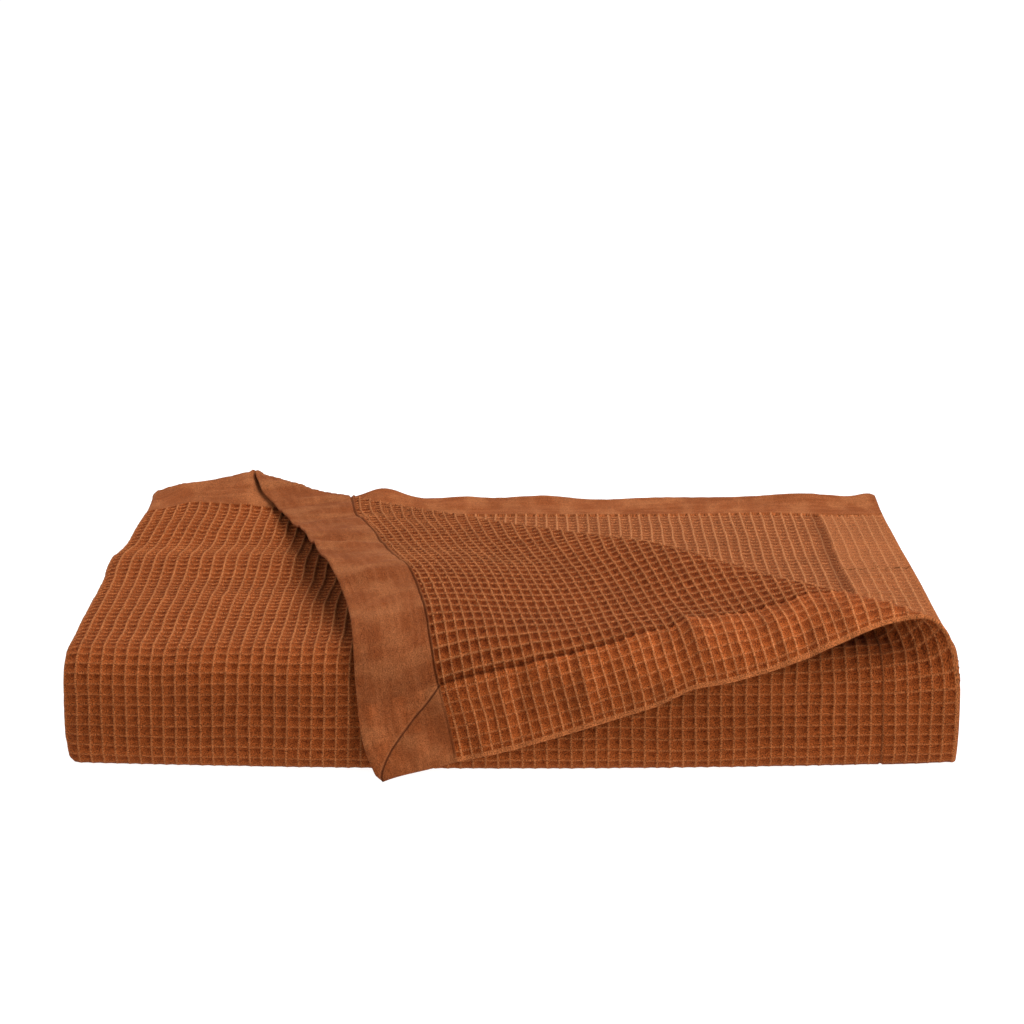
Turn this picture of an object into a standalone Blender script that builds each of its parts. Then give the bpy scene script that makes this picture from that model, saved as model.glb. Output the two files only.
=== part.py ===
"""Waffle weave cotton blanket, folded into a flat stack with one corner of its top layer turned over.

The blanket is one woven panel.  It is cut here as a flat sheet, 2.4 m wide and about 2.3 m long, and
then folded point by point: four layers across its width, those four into six along its length, and the
free corner of the top layer rolled over along a slanting line so that it hangs down the front.
Metres, +Z up.  The long front fold lies along X and faces -Y.
"""
import math

import bmesh
import bpy
import numpy as np

# ---- driving dimensions -------------------------------------------------------------------------
STACK_WIDTH = 0.600        # along X, over the side folds
STACK_DEPTH = 0.380        # along Y, front fold to back edge
STACK_HEIGHT = 0.080       # 24 layers
CLOTH = 0.0026             # thickness of the waffle cloth as it lies
LAYERS = 24
RUST = (0.33, 0.093, 0.028, 1)

PITCH = (STACK_HEIGHT - CLOTH) / (LAYERS - 1)      # one layer to the next
PACK = 4 * PITCH                                   # one four-layer pack to the next
TIGHT = 2 * PITCH                                  # middle radius of a plain turn of the pack
OUTER = 1.5 * PITCH                                # the top layer above the middle of its pack

LEFT = -STACK_WIDTH / 2
RIGHT = STACK_WIDTH / 2
FRONT = -0.1778            # the tip of the turned corner reaches in front of this
BACK = FRONT + STACK_DEPTH
HEM_INSET = 0.002          # the right hems stop short of the right folds
BACK_INSET = 0.004         # the inner back turns stop short of the back edge
FOOT_INSET = 0.010         # and so does the foot end, inside the stack
SIDE_LEAN = 0.006          # all layers drift to the right towards the back, per metre of depth
NARROWING = 0.026          # and both sides come in, so that the stack is narrower at the back

TOP_FRONT_RADIUS = 6 * PITCH       # middle of the pack, where the outer fold leaves the top
LOW_FRONT_RADIUS = 4 * PITCH       # the same fold above the table, pressed tighter

# ---- the turned corner --------------------------------------------------------------------------
# The corner is reflected across a line in the top layer.  The line runs from the back edge, left of
# the middle, to a point on the right edge that lies down the front.
LINE_BACK_X = -0.234
LINE_RIGHT_REACH = 0.043           # below the front edge of the stack, measured over the fold
ROLL_OFFSET = 0.044                # the roll starts this far on the corner's side of the line ...
ROLL_SHARE = 0.80                  # ... less this share of the roll's height
ROLL_TURN = 1.45                   # cloth in the half turn, as a share of its height
ROLL_NOSE = 0.42                   # how far the turn stands out, as a share of its height
LAY_TIGHTNESS = 0.985              # plan length of the laid-over cloth, which rises and falls
TOP_LEAN = 0.032                   # the top layer's threads run to the right towards the back
PULL_OUT = 0.022                   # the cloth gives this much towards the corner as it is turned ...
PULL_ALONG = -0.021                # ... and this much along the line
PULL_ZONE = 0.100                  # width of the cloth that gives, in the middle of the line
PULL_ENDS = 0.030                  # and at its ends
LINE_LENGTH = 0.68
EDGE_CREST = 0.027                 # height of the roll near the front edge
APEX_BEND = 0.0155                 # at the back edge the line bends this far away from the corner ...
APEX_FROM, APEX_TO = 0.03, 0.13    # ... between these distances along it

# Crest of the roll above the top layer, at distances along the line from its back end.
CREST = [
    # along, height
    (0.00, 0.0090), (0.08, 0.0085), (0.16, 0.0105), (0.25, 0.0190), (0.34, 0.0265),
    (0.43, 0.0345), (0.52, 0.0290), (0.60, 0.0285), (0.66, 0.0260),
]
# Height of the laid-over cloth above the top layer.  One row across the corner for each distance
# along the line, one column for each distance from the crest.
LAY_DISTANCES = (0.06, 0.12, 0.18, 0.24, 0.30)
LAY = [
    # along, 60 mm, 120 mm, 180 mm, 240 mm, 300 mm from the crest
    (0.00, 0.0045, 0.0055, 0.0075, 0.0095, 0.0115),
    (0.11, 0.0085, 0.0120, 0.0160, 0.0145, 0.0100),
    (0.22, 0.0200, 0.0245, 0.0290, 0.0185, 0.0075),
    (0.33, 0.0220, 0.0265, 0.0275, 0.0135, 0.0045),
    (0.44, 0.0205, 0.0110, 0.0080, 0.0065, 0.0070),
    (0.55, 0.0170, 0.0135, 0.0105, 0.0095, 0.0090),
    (0.66, 0.0175, 0.0135, 0.0115, 0.0105, 0.0105),
]

# The tip flares outwards where it meets the table, and the hanging cloth shifts sideways a little.
FLARE = 0.0145
FLARE_REACH = 0.075                # from the tip, measured on the cloth
SHIFTS = [
    # u, v, reach, along x
    (0.028, 0.000, 0.022, -0.0050),
    (0.060, 0.000, 0.022, -0.0025),
    (0.140, 0.025, 0.036, 0.0052),
]
# Soft rises of the top layer's back edge, under the turned corner's apex and at the left.
RISES = [
    # x, beyond the back edge, reach along x, reach along y, height
    (-0.2075, 0.005, 0.034, 0.042, 0.0125),
    (-0.3000, 0.000, 0.050, 0.050, 0.0035),
]

# ---- how finely the sheet is cut -----------------------------------------------------------------
TOP_CELLS = 15                     # squares of the top layer, across
ROLL_CUTS = np.arange(-0.0148, 0.084, 0.0036)      # cuts along the roll, measured from the line
EDGE_CUTS = np.arange(-0.004, 0.078, 0.0100)       # cuts where the corner bends over the front edge

# ---- the two ways of folding ---------------------------------------------------------------------
# Each run is a length, or an arc with its radius and turn: +1 turns left of the heading, -1 right.
INNER_LEFT = LEFT + CLOTH / 2 + PITCH
HALF_TURN = math.pi
QUARTER = math.pi / 2

HEM_X = RIGHT - HEM_INSET
ACROSS_START = (HEM_X, OUTER)
ACROSS = [
    # run, length, radius, turn, steps
    ("first layer, from its hem", HEM_X - LEFT - CLOTH / 2 - OUTER, 0, 0, TOP_CELLS),
    ("outer left fold", HALF_TURN, OUTER, 1, 5),
    ("fourth layer", RIGHT - LEFT - CLOTH - OUTER - PITCH / 2, 0, 0, 1),
    ("right fold", HALF_TURN, PITCH / 2, 1, 4),
    ("third layer", RIGHT - CLOTH / 2 - INNER_LEFT - PITCH, 0, 0, 1),
    ("inner left fold", HALF_TURN, PITCH / 2, -1, 4),
    ("second layer, to its hem", HEM_X - INNER_LEFT - PITCH / 2, 0, 0, 1),
]

PACK_TOP = STACK_HEIGHT - CLOTH / 2 - OUTER
FIRST_TURN_Y = FRONT + CLOTH / 2 + OUTER           # pack's middle where it turns over the front
BEND_Y = FIRST_TURN_Y + TOP_FRONT_RADIUS           # where the top starts to bend over the front
BEND_RADIUS = TOP_FRONT_RADIUS + OUTER             # of the top layer
BACK_TURN_Y = BACK - BACK_INSET - CLOTH / 2 - OUTER
TOP_RUN = BACK - FIRST_TURN_Y - TOP_FRONT_RADIUS
FIVE_PACKS = 5 * PACK - TOP_FRONT_RADIUS - LOW_FRONT_RADIUS
ALONG = [
    ("pack 1, top", TOP_RUN, 0, 0, 9),
    ("over the front", QUARTER, TOP_FRONT_RADIUS, 1, 5),
    ("down the front", FIVE_PACKS, 0, 0, 2),
    ("under the front", QUARTER, LOW_FRONT_RADIUS, 1, 4),
    ("pack 6, bottom", BACK_TURN_Y - TIGHT - FIRST_TURN_Y - LOW_FRONT_RADIUS, 0, 0, 1),
    ("back turn", HALF_TURN, TIGHT, 1, 6),
    ("pack 5", BACK_TURN_Y - FIRST_TURN_Y - PACK - 2 * TIGHT, 0, 0, 1),
    ("inner front, low", QUARTER, TIGHT, -1, 3),
    ("inner front", 3 * PACK - 2 * TIGHT, 0, 0, 1),
    ("inner front, high", QUARTER, TIGHT, -1, 3),
    ("pack 2", BACK_TURN_Y - FIRST_TURN_Y - PACK - 2 * TIGHT, 0, 0, 1),
    ("back turn", HALF_TURN, TIGHT, -1, 6),
    ("pack 3", BACK_TURN_Y - FIRST_TURN_Y - 2 * PACK - 2 * TIGHT, 0, 0, 1),
    ("innermost front", HALF_TURN, TIGHT, 1, 6),
    ("pack 4, to the foot end", BACK - FOOT_INSET - FIRST_TURN_Y - 2 * PACK - TIGHT, 0, 0, 1),
]


def arc_reach(radius, turn, offset):
    """Radius at which an arc's cloth is measured: the run's own, or that of a layer off its middle."""
    return radius + turn * offset


def stops(runs, offset):
    """Distances along a folded path at which the sheet is divided."""
    marks, start = [0.0], 0.0
    for _, size, radius, turn, steps in runs:
        length = size * arc_reach(radius, turn, offset) if turn else size
        marks += [start + length * k / steps for k in range(1, steps + 1)]
        start += length
    return np.array(marks)


def follow(runs, start, distance, offset):
    """Position and outward normal at each distance along a path that sets out towards -1, 0.

    Distances are measured on the layer that lies `offset` outside the path; lines keep their length
    and arcs turn about a centre at their own radius."""
    point = np.zeros((len(distance), 2))
    normal = np.zeros((len(distance), 2))
    here, heading, begun = np.array(start, float), math.pi, 0.0
    for number, (_, size, radius, turn, _) in enumerate(runs):
        length = size * arc_reach(radius, turn, offset) if turn else size
        last = number == len(runs) - 1
        on = (distance >= begun - 1e-9) & ((distance < begun + length - 1e-9) | last)
        gone = distance[on] - begun
        if turn:
            centre = here + turn * radius * np.array([-math.sin(heading), math.cos(heading)])
            angle = heading + turn * gone / arc_reach(radius, turn, offset)
            point[on, 0] = centre[0] + turn * radius * np.sin(angle)
            point[on, 1] = centre[1] - turn * radius * np.cos(angle)
            heading += turn * size
            here = centre + turn * radius * np.array([math.sin(heading), -math.cos(heading)])
        else:
            angle = np.full(gone.shape, heading)
            point[on, 0] = here[0] + gone * math.cos(heading)
            point[on, 1] = here[1] + gone * math.sin(heading)
            here = here + size * np.array([math.cos(heading), math.sin(heading)])
        normal[on, 0], normal[on, 1] = np.sin(angle), -np.cos(angle)
        begun += length
    return point, normal


def ease(t):
    """Soft step from 0 to 1."""
    t = np.clip(t, 0.0, 1.0)
    return t * t * (3 - 2 * t)


def soft_curve(stations, values, at):
    """Smooth curve through values at stations: cubic pieces whose slopes are centred differences."""
    stations, values = np.asarray(stations), np.asarray(values)
    slope = np.gradient(values, stations)
    left = np.clip(np.searchsorted(stations, at) - 1, 0, len(stations) - 2)
    span = stations[left + 1] - stations[left]
    t = np.clip((at - stations[left]) / span, 0, 1)
    return ((2 * t**3 - 3 * t**2 + 1) * values[left] + (t**3 - 2 * t**2 + t) * span * slope[left]
            + (3 * t**2 - 2 * t**3) * values[left + 1] + (t**3 - t**2) * span * slope[left + 1])


# ---- the turned corner's own frame ----------------------------------------------------------------
LINE_START = np.array([LINE_BACK_X, BACK])
LINE_END = np.array([RIGHT, FRONT - LINE_RIGHT_REACH])
LINE_DIRECTION = (LINE_END - LINE_START) / np.linalg.norm(LINE_END - LINE_START)
LINE_NORMAL = np.array([-LINE_DIRECTION[1], LINE_DIRECTION[0]])


def line_frame(x, reach):
    """Distances along the line, and from it towards the corner."""
    dx, dw = x - LINE_START[0], reach - LINE_START[1]
    return dx * LINE_DIRECTION[0] + dw * LINE_DIRECTION[1], dx * LINE_NORMAL[0] + dw * LINE_NORMAL[1]


def crest_height(along):
    rows = np.array(CREST)
    return soft_curve(rows[:, 0], rows[:, 1], along)


def lay_height(along, past, crest):
    """Height of the laid-over cloth: the crest, then each column of LAY, joined by a soft curve."""
    rows = np.array(LAY)
    heights = [crest] + [soft_curve(rows[:, 0], rows[:, k], along) for k in range(1, rows.shape[1])]
    heights = np.array(heights).T
    marks = np.array((0.0,) + LAY_DISTANCES)
    out = np.empty(len(along))
    for k in range(len(along)):
        slope = np.gradient(heights[k], marks)
        slope[0] = 0.0
        j = min(max(int(np.searchsorted(marks, past[k])) - 1, 0), len(marks) - 2)
        span = marks[j + 1] - marks[j]
        t = min(max((past[k] - marks[j]) / span, 0.0), 1.0)
        out[k] = ((2 * t**3 - 3 * t**2 + 1) * heights[k, j] + (t**3 - 2 * t**2 + t) * span * slope[j]
                  + (3 * t**2 - 2 * t**3) * heights[k, j + 1] + (t**3 - t**2) * span * slope[j + 1])
    return out


def pulled(along, out):
    """Places on the top layer once the cloth beside the roll has given way towards the corner."""
    middle = np.clip(along / LINE_LENGTH, 0, 1)
    zone = PULL_ENDS + PULL_ZONE * 4 * middle * (1 - middle)
    share = ease((out - ROLL_OFFSET + zone) / (zone + PULL_ENDS))
    return along + PULL_ALONG * share, out + PULL_OUT * share


def turn_corner(x, reach):
    """Plan position and height above the top layer, for points of the top layer."""
    along, out = pulled(*line_frame(x, reach))
    crest = crest_height(along)
    bend = APEX_BEND * ease((APEX_TO - along) / (APEX_TO - APEX_FROM))
    start = ROLL_OFFSET - bend - ROLL_SHARE * crest
    turned = np.clip((out - start) / (ROLL_TURN * crest), 0, 1)
    past = np.clip(out - start - ROLL_TURN * crest, 0, None)
    height = np.where(past > 0, lay_height(along, past, crest), crest * (1 - np.cos(math.pi * turned)) / 2)
    plan = np.where(out <= start, out, start + ROLL_NOSE * crest * np.sin(math.pi * turned)
                    - LAY_TIGHTNESS * past)
    new_x = LINE_START[0] + along * LINE_DIRECTION[0] + plan * LINE_NORMAL[0]
    new_reach = LINE_START[1] + along * LINE_DIRECTION[1] + plan * LINE_NORMAL[1]
    return new_x, new_reach, height


def rise(x, y):
    """Height of the soft rises at a place in plan."""
    return sum(height * np.exp(-((x - at) / wide)**2 / 2 - ((y - BACK - beyond) / deep)**2 / 2)
               for at, beyond, wide, deep, height in RISES)


def shift(u, v):
    """How far the hanging cloth shifts along x."""
    return sum(size * np.exp(-((u - at_u)**2 + (v - at_v)**2) / (2 * wide**2))
               for at_u, at_v, wide, size in SHIFTS)


def over_the_front(reach, height):
    """Y and Z of a point that lies `height` above the top layer, `reach` along it from back to front.

    Higher cloth bends over the front edge in a wider arc, so that it keeps its length.  What is left
    over at the table turns outwards and lies on it."""
    gone = np.clip(BEND_Y - reach, 0, None)
    radius = BEND_RADIUS + height
    angle = np.clip(gone / radius, 0, QUARTER)
    down = np.clip(gone - radius * QUARTER, 0, None)
    y = np.where(reach > BEND_Y, reach, BEND_Y - radius * np.sin(angle))
    z = PACK_TOP - TOP_FRONT_RADIUS + radius * np.cos(angle) - down
    low = np.clip(CLOTH / 2 - z, 0, None)
    return y - low, z + low


def fold(u, v):
    """Folded position of points of the flat blanket, u across from the right hem, v from the head end."""
    across, _ = follow(ACROSS, ACROSS_START, u, 0.0)
    along, outward = follow(ALONG, (BACK, PACK_TOP), v, OUTER)
    x, lift = across[:, 0], across[:, 1]
    y = along[:, 0] + lift * outward[:, 0]
    z = along[:, 1] + lift * outward[:, 1]
    lean = (y - FRONT) * (SIDE_LEAN - NARROWING * x / RIGHT)
    first = top_layer(u, v)
    lean = np.where(first, TOP_LEAN * np.clip(BACK - v - FRONT, 0, None), lean)
    turned_x, turned_reach, height = turn_corner(x + lean, BACK - v)
    up_y, up_z = over_the_front(turned_reach, height)
    flare = FLARE * ease(1 - np.hypot(u, v) / FLARE_REACH)
    x = np.where(first, turned_x + shift(u, v), x + lean)
    y = np.where(first, up_y - flare, y)
    z = np.where(first, up_z + rise(x, y), z)
    return x, y, z


def top_layer(u, v):
    """Whether a point is on the first layer, as far as the bottom of the front fold."""
    face = TOP_RUN + QUARTER * BEND_RADIUS + FIVE_PACKS
    return (u <= stops(ACROSS, 0.0)[TOP_CELLS] + 1e-6) & (v <= face + 1e-6)


def reflected(direction):
    """A direction of the plan, carried back onto the unturned sheet."""
    return direction - 2 * np.dot(direction, LINE_NORMAL) * LINE_NORMAL


def cut(bm, faces, point, normal):
    """Divide faces of the flat sheet along a line."""
    edges = {e for f in faces for e in f.edges}
    verts = {p for f in faces for p in f.verts}
    bmesh.ops.bisect_plane(bm, geom=list(faces) + list(edges) + list(verts), dist=1e-6,
                           plane_co=(point[0], point[1], 0), plane_no=(normal[0], normal[1], 0))


def flat_panel():
    """The unfolded blanket, in the plane, divided along its folds and around the turned corner."""
    marks_u, marks_v = stops(ACROSS, 0.0), stops(ALONG, OUTER)
    bm = bmesh.new()
    bmesh.ops.create_grid(bm, x_segments=len(marks_u) - 1, y_segments=len(marks_v) - 1, size=0.5)
    for vert in bm.verts:
        vert.co.x = marks_u[round((vert.co.x + 0.5) * (len(marks_u) - 1))]
        vert.co.y = marks_v[round((vert.co.y + 0.5) * (len(marks_v) - 1))]

    def plan_of(face):
        middle = face.calc_center_median()
        return HEM_X - middle.x + TOP_LEAN * (BACK - middle.y - FRONT), BACK - middle.y

    def cut_at(faces, place, normal):
        """Cut along a line of the plan, written in the sheet's own u and v."""
        point = (HEM_X - place[0] + TOP_LEAN * (place[1] - FRONT), BACK - place[1])
        cut(bm, faces, point, (-normal[0], -(normal[1] + TOP_LEAN * normal[0])))

    for step in ROLL_CUTS:
        near = [f for f in bm.faces if top_layer(*f.calc_center_median()[:2])]
        cut_at(near, LINE_START + LINE_NORMAL * step, LINE_NORMAL)
    # the bend over the front edge, carried back onto the unturned corner
    shortened = (2 * ROLL_SHARE - ROLL_TURN) * EDGE_CREST
    carried = (2 * ROLL_OFFSET - shortened - PULL_OUT) * LINE_NORMAL - PULL_ALONG * LINE_DIRECTION
    for step in EDGE_CUTS:
        far = [f for f in bm.faces if top_layer(*f.calc_center_median()[:2])
               and line_frame(*plan_of(f))[1] > ROLL_CUTS[-1]]
        distance = (BEND_Y - step - LINE_START[1]) / LINE_DIRECTION[1]
        cut_at(far, LINE_START + LINE_DIRECTION * distance + carried, reflected(np.array([0.0, 1.0])))
    bmesh.ops.triangulate(bm, faces=bm.faces[:])
    return bm


def cotton_material():
    material = bpy.data.materials.new("rust waffle cotton")
    material.use_nodes = True
    shader = material.node_tree.nodes["Principled BSDF"]
    shader.inputs["Base Color"].default_value = RUST
    shader.inputs["Roughness"].default_value = 0.9
    shader.inputs["Metallic"].default_value = 0.0
    return material


def blanket(collection):
    bm = flat_panel()
    flat = np.array([vert.co[:] for vert in bm.verts])
    x, y, z = fold(flat[:, 0], flat[:, 1])
    for vert, *place in zip(bm.verts, x, y, z):
        vert.co = place
    bmesh.ops.reverse_faces(bm, faces=bm.faces[:])
    mesh = bpy.data.meshes.new("blanket")
    bm.to_mesh(mesh)
    bm.free()
    mesh.shade_smooth()
    thing = bpy.data.objects.new("blanket", mesh)
    collection.objects.link(thing)
    thing.data.materials.append(cotton_material())
    wall = thing.modifiers.new("cloth thickness", "SOLIDIFY")
    wall.thickness = CLOTH
    wall.offset = 0.0
    wall.use_even_offset = True
    return thing


for old in list(bpy.data.objects):
    bpy.data.objects.remove(old, do_unlink=True)
folder = bpy.data.collections.new("waffle weave cotton blanket")
bpy.context.scene.collection.children.link(folder)
blanket(folder)
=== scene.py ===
import math

import bpy
import mathutils
import numpy as np
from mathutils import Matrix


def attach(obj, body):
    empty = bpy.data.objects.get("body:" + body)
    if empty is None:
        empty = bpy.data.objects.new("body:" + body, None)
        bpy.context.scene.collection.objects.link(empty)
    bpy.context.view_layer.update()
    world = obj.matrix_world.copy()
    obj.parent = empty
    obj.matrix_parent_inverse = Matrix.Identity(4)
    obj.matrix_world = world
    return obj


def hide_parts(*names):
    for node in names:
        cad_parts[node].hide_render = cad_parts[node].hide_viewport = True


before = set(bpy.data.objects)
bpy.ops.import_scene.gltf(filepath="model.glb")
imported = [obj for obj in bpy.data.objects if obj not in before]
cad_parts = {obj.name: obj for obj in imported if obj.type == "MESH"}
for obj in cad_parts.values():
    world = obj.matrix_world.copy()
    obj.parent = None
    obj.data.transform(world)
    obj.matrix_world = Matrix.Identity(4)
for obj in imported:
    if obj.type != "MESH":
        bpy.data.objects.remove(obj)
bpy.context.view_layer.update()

# ---- The folded stack ----
# The blanket is one cotton panel of 2.39 m by 2.24 m, woven as a waffle with plain woven ends, its
# edges turned under and stitched.  It is folded by hand, four layers across and those four into six
# along, and only its own weight holds the folds.

# The fold.  u runs across the flat panel from its right hem and v along it from its head end, and
# every piece of the cloth is laid by the same functions of (u, v).
WIDTH, DEPTH, HEIGHT, CLOTH, LAYERS = 0.600, 0.380, 0.080, 0.0026, 24
PITCH = (HEIGHT - CLOTH) / (LAYERS - 1)
PACK, TIGHT, OUTER = 4 * PITCH, 2 * PITCH, 1.5 * PITCH
LEFT, RIGHT, FRONT = -WIDTH / 2, WIDTH / 2, -0.1778
BACK = FRONT + DEPTH
HEM_INSET, BACK_INSET, FOOT_INSET = 0.002, 0.004, 0.010
HIGH_RADIUS, LOW_RADIUS = 6 * PITCH, 2 * PITCH  # of the outer fold, above and by the table
HALF_TURN, QUARTER = math.pi, math.pi / 2
HEM_X = RIGHT - HEM_INSET
INNER_LEFT = LEFT + CLOTH / 2 + PITCH
PACK_TOP = HEIGHT - CLOTH / 2 - OUTER
FRONT_TURN = FRONT + CLOTH / 2 + OUTER
BACK_TURN = BACK - BACK_INSET - CLOTH / 2 - OUTER
BEND_Y, BEND_RADIUS = FRONT_TURN + HIGH_RADIUS, HIGH_RADIUS + OUTER
TOP_RUN = BACK - FRONT_TURN - HIGH_RADIUS
FACE_RUN = 5 * PACK - HIGH_RADIUS - LOW_RADIUS
INNER_RUN = BACK_TURN - FRONT_TURN - PACK - 2 * TIGHT
ACROSS = [
    # run, length or angle, radius, turn
    ("first layer, from its hem", HEM_X - LEFT - CLOTH / 2 - OUTER, 0, 0),
    ("outer left fold", HALF_TURN, OUTER, 1),
    ("fourth layer", RIGHT - LEFT - CLOTH - OUTER - PITCH / 2, 0, 0),
    ("right fold", HALF_TURN, PITCH / 2, 1),
    ("third layer", RIGHT - CLOTH / 2 - INNER_LEFT - PITCH, 0, 0),
    ("inner left fold", HALF_TURN, PITCH / 2, -1),
    ("second layer, to its hem", HEM_X - INNER_LEFT - PITCH / 2, 0, 0),
]
ALONG = [
    ("pack 1, top", TOP_RUN, 0, 0),
    ("over the front", QUARTER, HIGH_RADIUS, 1),
    ("down the front", FACE_RUN, 0, 0),
    ("under the front", QUARTER, LOW_RADIUS, 1),
    ("pack 6, bottom", BACK_TURN - TIGHT - FRONT_TURN - LOW_RADIUS, 0, 0),
    ("back turn", HALF_TURN, TIGHT, 1),
    ("pack 5", INNER_RUN, 0, 0),
    ("inner front, low", QUARTER, TIGHT, -1),
    ("inner front", 3 * PACK - 2 * TIGHT, 0, 0),
    ("inner front, high", QUARTER, TIGHT, -1),
    ("pack 2", INNER_RUN, 0, 0),
    ("back turn", HALF_TURN, TIGHT, -1),
    ("pack 3", BACK_TURN - FRONT_TURN - 2 * PACK - 2 * TIGHT, 0, 0),
    ("innermost front", HALF_TURN, TIGHT, 1),
    ("pack 4, to the foot end", BACK - FOOT_INSET - FRONT_TURN - 2 * PACK - TIGHT, 0, 0),
]


def run_starts(runs, offset):
    """Distance at which each run begins, and the end of the last, on a layer `offset` off the path."""
    sizes = [size * (radius + turn * offset) if turn else size for _, size, radius, turn in runs]
    return np.concatenate([[0.0], np.cumsum(sizes)])


def path(runs, start, distance, offset):
    """Place and outward normal at each distance along straight runs joined by arcs, heading for -1, 0.

    On a run, place = start + distance * heading; on an arc, place = centre + turn * radius * (sin a,
    -cos a) with the angle a growing by distance / (radius + turn * offset).  The normal is (sin a,
    -cos a)."""
    starts = run_starts(runs, offset)
    on = np.clip(np.searchsorted(starts, distance, side="right") - 1, 0, len(runs) - 1)
    place, normal = np.zeros(distance.shape + (2,)), np.zeros(distance.shape + (2,))
    here, heading = np.array(start, float), math.pi
    for k, (_, size, radius, turn) in enumerate(runs):
        gone = (distance - starts[k])[on == k]
        ahead = np.array([math.cos(heading), math.sin(heading)])
        if turn:
            centre = here + turn * radius * np.array([-ahead[1], ahead[0]])
            a = heading + turn * gone / (radius + turn * offset)
            place[on == k] = centre + turn * radius * np.stack([np.sin(a), -np.cos(a)], axis=-1)
            heading += turn * size
            here = centre + turn * radius * np.array([math.sin(heading), -math.cos(heading)])
        else:
            a = np.full(gone.shape, heading)
            place[on == k] = here + gone[:, None] * ahead
            here = here + size * ahead
        normal[on == k] = np.stack([np.sin(a), -np.cos(a)], axis=-1)
    return place, normal


def ease(t):
    """Soft step: 0 below 0, 1 above 1, and 3 t^2 - 2 t^3 between."""
    t = np.clip(t, 0.0, 1.0)
    return t * t * (3 - 2 * t)


def bell(a, b=0.0):
    """Soft bump: exp(-(a^2 + b^2) / 2)."""
    return np.exp(-(a**2 + b**2) / 2)


def soft_join(low, high, low_slope, high_slope, span, t):
    """Cubic from low to high over span, with the slopes given at its ends."""
    return ((2 * t**3 - 3 * t**2 + 1) * low + (t**3 - 2 * t**2 + t) * span * low_slope
            + (3 * t**2 - 2 * t**3) * high + (t**3 - t**2) * span * high_slope)


def soft_curve(stations, values, at):
    """Smooth curve through the values: cubic pieces whose slopes are centred differences."""
    stations, values = np.asarray(stations, float), np.asarray(values, float)
    slope = np.gradient(values, stations)
    k = np.clip(np.searchsorted(stations, at) - 1, 0, len(stations) - 2)
    span = stations[k + 1] - stations[k]
    t = np.clip((at - stations[k]) / span, 0, 1)
    return soft_join(values[k], values[k + 1], slope[k], slope[k + 1], span, t)


MOTTLE_GRID, MOTTLE_FROM = 512, 100.0


def mottle(u, v, size, seed):
    """Smooth random field, about -1 to 1: random values on a grid of that size, joined by soft steps."""
    values = np.random.default_rng(seed).uniform(-1, 1, (MOTTLE_GRID, MOTTLE_GRID))
    a, b = u / size + MOTTLE_FROM, v / size + MOTTLE_FROM
    i, j = np.floor(a).astype(int) % MOTTLE_GRID, np.floor(b).astype(int) % MOTTLE_GRID
    s, t = ease(a - np.floor(a)), ease(b - np.floor(b))
    i1, j1 = (i + 1) % MOTTLE_GRID, (j + 1) % MOTTLE_GRID
    return ((values[i, j] * (1 - s) + values[i1, j] * s) * (1 - t)
            + (values[i, j1] * (1 - s) + values[i1, j1] * s) * t)


UNEVEN = {
    # what: mean, swing either way, patch size, how much of it goes by u and by v, seed; then the next
    "stack top": [(0, 0.0011, 0.085, 1, 1, 21), (0, 0.0005, 0.034, 1, 1, 22)],
    "front face": [(0, 0.0009, 0.060, 1, 1, 23)],
    "hem edge": [(0, 0.0016, 0.026, 0.2, 1, 26)],
    "plain band": [(0, 0.0017, 0.028, 1, 0.6, 25), (0, 0.0006, 0.011, 1, 0.5, 27)],
    "face columns": [(1, 0.12, 0.011, 1, 1, 2)],
    "face rows": [(0.66, 0.14, 0.009, 1, 1, 3)],
    "face pits": [(1, 0.13, 0.0085, 1, 1, 4)],
    "face yarns": [(0, 0.00018, 0.0019, 1, 1, 13)],
    "face of the band": [(0, 0.00014, 0.004, 1, 0.15, 5)],
    "reverse columns": [(0.80, 0.12, 0.010, 1, 1, 6)],
    "reverse rows": [(1, 0.10, 0.012, 1, 1, 14)],
    "reverse pits": [(1, 0.13, 0.0085, 1, 1, 7)],
    "reverse yarns": [(0, 0.00018, 0.0019, 1, 1, 17)],
    "reverse of the band": [(0.0010, 0.00017, 0.005, 1, 0.15, 10), (0, 0.0008, 0.015, 0.22, 1, 24)],
    "hem columns": [(0.46, 0.26, 0.009, 1, 1, 8)],
    "hem rows": [(1, 0.24, 0.010, 1, 1, 16)],
    "hem puckers": [(0, 0.0010, 0.016, 0.30, 1, 9), (0, 0.0006, 0.007, 0.45, 1, 15)],
    "rolled edge": [(0.0013, 0.0002, 0.0028, 1, 1, 28)],
    "drift across": [(0, 0.0012, 0.070, 1, 1, 1), (0, 0.0005, 0.022, 1, 1, 11),
                     (0, 0.00022, 0.0055, 1, 1, 18)],
    "drift along": [(0, 0.0010, 0.060, 1, 1, 20), (0, 0.0005, 0.025, 1, 1, 12),
                    (0, 0.00022, 0.0055, 1, 1, 19)],
}


def uneven(what, u, v):
    """Sum of mean + swing * mottle over what UNEVEN has for it."""
    return sum(mean + swing * mottle(u * by_u, v * by_v, patch, seed)
               for mean, swing, patch, by_u, by_v, seed in UNEVEN[what])


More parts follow.
